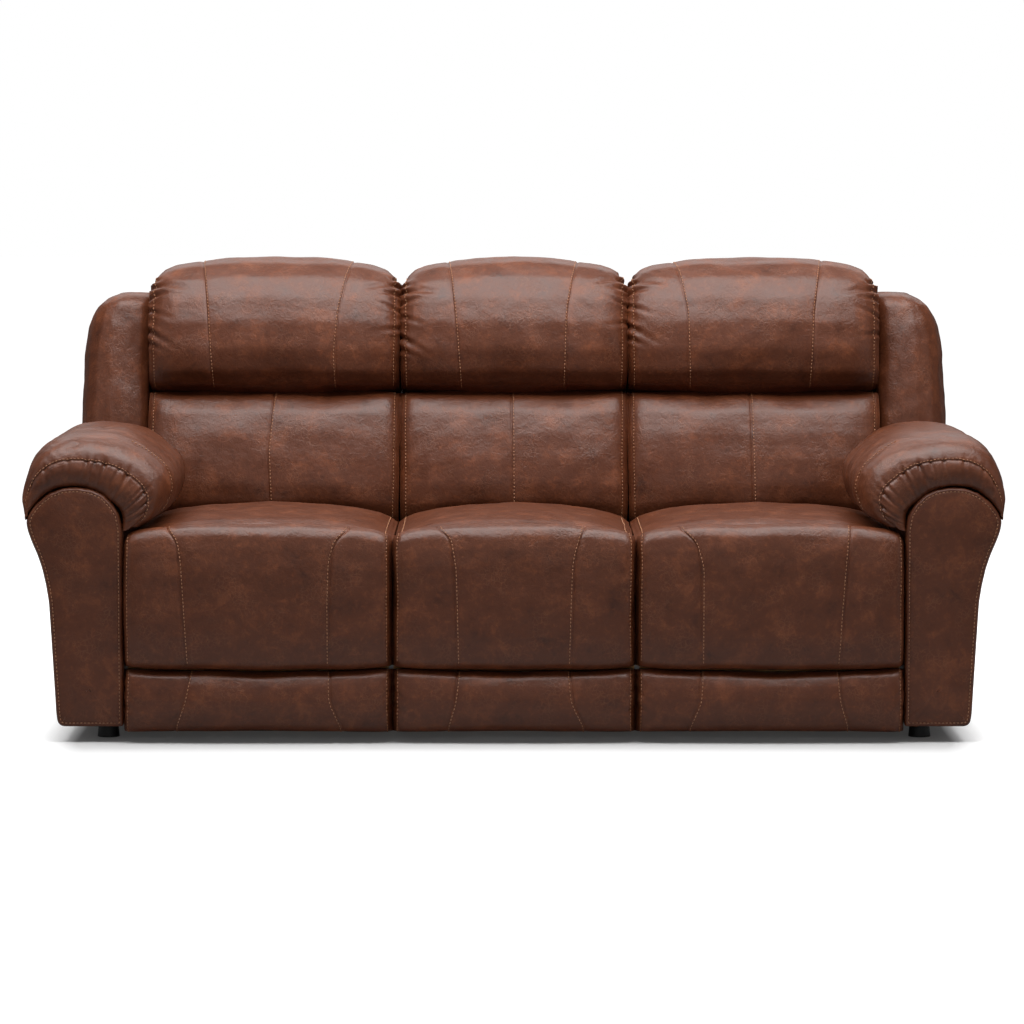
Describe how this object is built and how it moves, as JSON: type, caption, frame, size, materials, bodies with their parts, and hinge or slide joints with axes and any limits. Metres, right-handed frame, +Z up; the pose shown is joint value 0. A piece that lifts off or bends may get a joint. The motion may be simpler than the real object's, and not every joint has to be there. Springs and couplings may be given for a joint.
{
  "type": "reclining sofa",
  "caption": "Wide padded leather sofa whose end seats recline and raise footrests, with rolled pad arms and a fixed middle seat.",
  "frame": {"origin": "middle of the footprint, on the floor", "axes": "+X to the right seen from the front, -Y towards the sitter's feet, +Z up"},
  "size_m": [2.1586, 0.97, 1.0434],
  "materials": {
    "brown_leather": "satin",
    "frame_wood": "matte",
    "board_wood": "matte",
    "black_steel": "satin",
    "zinc_steel": "satin",
    "black_webbing": "matte",
    "black_plastic": "matte"
  },
  "bodies": {
    "root": {"base_rails": "frame_wood", "arm_frames": "frame_wood", "feet": "black_plastic", "frame_bolts": "zinc_steel", "mechanism_base_plates": "black_steel", "middle_seat_frame": "frame_wood", "middle_seat_webbing": "black_webbing", "middle_seat_cushion": "brown_leather", "middle_front_pad": "brown_leather", "middle_front_bolster": "brown_leather", "middle_back_frame": "frame_wood", "middle_lumbar_cushion": "brown_leather", "middle_head_pillow": "brown_leather", "middle_back_panel": "brown_leather", "left_arm_cover": "brown_leather", "left_arm_front_panel": "brown_leather", "left_arm_pad": "brown_leather", "left_release_bezel": "black_plastic", "right_arm_cover": "brown_leather", "right_arm_front_panel": "brown_leather", "right_arm_pad": "brown_leather", "right_release_bezel": "black_plastic"},
    "left_front_swing": {"left_front_swing_links": "black_steel"},
    "left_rear_swing": {"left_rear_swing_links": "black_steel"},
    "left_seat": {"left_seat_frame": "frame_wood", "left_seat_webbing": "black_webbing", "left_seat_cushion": "brown_leather", "left_side_plates": "black_steel"},
    "left_back": {"left_back_frame": "frame_wood", "left_lumbar_cushion": "brown_leather", "left_head_pillow": "brown_leather", "left_back_panel": "brown_leather", "left_back_wing": "brown_leather"},
    "left_front_link": {"left_front_links": "black_steel"},
    "left_rear_link": {"left_rear_links": "black_steel"},
    "left_cross_link": {"left_cross_links": "black_steel"},
    "left_short_link": {"left_short_links": "black_steel"},
    "left_footrest": {"left_footrest_frame": "board_wood", "left_footrest_pad": "brown_leather", "left_footrest_bolster": "brown_leather"},
    "left_lever": {"left_release_lever": "black_plastic"},
    "right_front_swing": {"right_front_swing_links": "black_steel"},
    "right_rear_swing": {"right_rear_swing_links": "black_steel"},
    "right_seat": {"right_seat_frame": "frame_wood", "right_seat_webbing": "black_webbing", "right_seat_cushion": "brown_leather", "right_side_plates": "black_steel"},
    "right_back": {"right_back_frame": "frame_wood", "right_lumbar_cushion": "brown_leather", "right_head_pillow": "brown_leather", "right_back_panel": "brown_leather", "right_back_wing": "brown_leather"},
    "right_front_link": {"right_front_links": "black_steel"},
    "right_rear_link": {"right_rear_links": "black_steel"},
    "right_cross_link": {"right_cross_links": "black_steel"},
    "right_short_link": {"right_short_links": "black_steel"},
    "right_footrest": {"right_footrest_frame": "board_wood", "right_footrest_pad": "brown_leather", "right_footrest_bolster": "brown_leather"},
    "right_lever": {"right_release_lever": "black_plastic"}
  },
  "joints": [
    {"name": "left_recline", "type": "hinge", "parent": "left_front_swing", "child": "left_seat", "pos_m": [-0.562, -0.08495, 0.24816], "axis": [-1, 0, 0], "range_deg": [0, 21]},
    {"name": "left_front_swing_turn", "type": "hinge", "parent": "root", "child": "left_front_swing", "pos_m": [-0.562, -0.105, 0.14], "axis": [1, 0, 0], "range_deg": [-0.02, 21.02]},
    {"name": "left_rear_swing_turn", "type": "hinge", "parent": "root", "child": "left_rear_swing", "pos_m": [-0.562, 0.155, 0.14], "axis": [1, 0, 0], "range_deg": [-0.02, 21.02]},
    {"name": "left_back_tilt", "type": "hinge", "parent": "left_seat", "child": "left_back", "pos_m": [-0.562, 0.2682, 0.29], "axis": [-1, 0, 0], "range_deg": [-0.02, 30.02]},
    {"name": "left_footrest_lift", "type": "hinge", "parent": "left_seat", "child": "left_front_link", "pos_m": [-0.562, -0.30192, 0.30256], "axis": [-1, 0, 0], "range_deg": [0, 94.89]},
    {"name": "left_rear_link_turn", "type": "hinge", "parent": "left_seat", "child": "left_rear_link", "pos_m": [-0.562, -0.27384, 0.28496], "axis": [-1, 0, 0], "range_deg": [-0.02, 93.72]},
    {"name": "left_cross_link_turn", "type": "hinge", "parent": "left_front_link", "child": "left_cross_link", "pos_m": [-0.562, -0.24033, 0.11775], "axis": [-1, 0, 0], "range_deg": [-124.14, 0.02]},
    {"name": "left_short_link_turn", "type": "hinge", "parent": "left_front_link", "child": "left_short_link", "pos_m": [-0.562, -0.22061, 0.05855], "axis": [-1, 0, 0], "range_deg": [-124.12, 0.02]},
    {"name": "left_footrest_turn", "type": "hinge", "parent": "left_cross_link", "child": "left_footrest", "pos_m": [-0.562, -0.38603, 0.29967], "axis": [-1, 0, 0], "range_deg": [-0.02, 123.25]},
    {"name": "left_release_pull", "type": "hinge", "parent": "root", "child": "left_lever", "pos_m": [-1.0069, -0.2305, 0.18022], "axis": [-0.0544, 0, 0.9985], "range_deg": [0, 35], "stiffness_Nm_per_rad": 0.4},
    {"name": "right_recline", "type": "hinge", "parent": "right_front_swing", "child": "right_seat", "pos_m": [0.562, -0.08495, 0.24816], "axis": [-1, 0, 0], "range_deg": [0, 21]},
    {"name": "right_front_swing_turn", "type": "hinge", "parent": "root", "child": "right_front_swing", "pos_m": [0.562, -0.105, 0.14], "axis": [1, 0, 0], "range_deg": [-0.02, 21.02]},
    {"name": "right_rear_swing_turn", "type": "hinge", "parent": "root", "child": "right_rear_swing", "pos_m": [0.562, 0.155, 0.14], "axis": [1, 0, 0], "range_deg": [-0.02, 21.02]},
    {"name": "right_back_tilt", "type": "hinge", "parent": "right_seat", "child": "right_back", "pos_m": [0.562, 0.2682, 0.29], "axis": [-1, 0, 0], "range_deg": [-0.02, 30.02]},
    {"name": "right_footrest_lift", "type": "hinge", "parent": "right_seat", "child": "right_front_link", "pos_m": [0.562, -0.30192, 0.30256], "axis": [-1, 0, 0], "range_deg": [0, 94.89]},
    {"name": "right_rear_link_turn", "type": "hinge", "parent": "right_seat", "child": "right_rear_link", "pos_m": [0.562, -0.27384, 0.28496], "axis": [-1, 0, 0], "range_deg": [-0.02, 93.72]},
    {"name": "right_cross_link_turn", "type": "hinge", "parent": "right_front_link", "child": "right_cross_link", "pos_m": [0.562, -0.24033, 0.11775], "axis": [-1, 0, 0], "range_deg": [-124.14, 0.02]},
    {"name": "right_short_link_turn", "type": "hinge", "parent": "right_front_link", "child": "right_short_link", "pos_m": [0.562, -0.22061, 0.05855], "axis": [-1, 0, 0], "range_deg": [-124.12, 0.02]},
    {"name": "right_footrest_turn", "type": "hinge", "parent": "right_cross_link", "child": "right_footrest", "pos_m": [0.562, -0.38603, 0.29967], "axis": [-1, 0, 0], "range_deg": [-0.02, 123.25]},
    {"name": "right_release_pull", "type": "hinge", "parent": "root", "child": "right_lever", "pos_m": [1.0069, -0.2305, 0.18022], "axis": [-0.0544, 0, -0.9985], "range_deg": [0, 35], "stiffness_Nm_per_rad": 0.4}
  ],
  "couplings": [
    {"joint": "left_front_swing_turn", "follows": "left_recline", "ratio": 1},
    {"joint": "left_rear_swing_turn", "follows": "left_recline", "ratio": 1},
    {"joint": "left_back_tilt", "follows": "left_recline", "ratio": 1.4286},
    {"joint": "left_rear_link_turn", "follows": "left_footrest_lift", "ratio": 0.9875},
    {"joint": "left_cross_link_turn", "follows": "left_footrest_lift", "ratio": -1.308},
    {"joint": "left_short_link_turn", "follows": "left_footrest_lift", "ratio": -1.3078},
    {"joint": "left_footrest_turn", "follows": "left_footrest_lift", "ratio": 1.2987},
    {"joint": "right_front_swing_turn", "follows": "right_recline", "ratio": 1},
    {"joint": "right_rear_swing_turn", "follows": "right_recline", "ratio": 1},
    {"joint": "right_back_tilt", "follows": "right_recline", "ratio": 1.4286},
    {"joint": "right_rear_link_turn", "follows": "right_footrest_lift", "ratio": 0.9875},
    {"joint": "right_cross_link_turn", "follows": "right_footrest_lift", "ratio": -1.308},
    {"joint": "right_short_link_turn", "follows": "right_footrest_lift", "ratio": -1.3078},
    {"joint": "right_footrest_turn", "follows": "right_footrest_lift", "ratio": 1.2987}
  ]
}
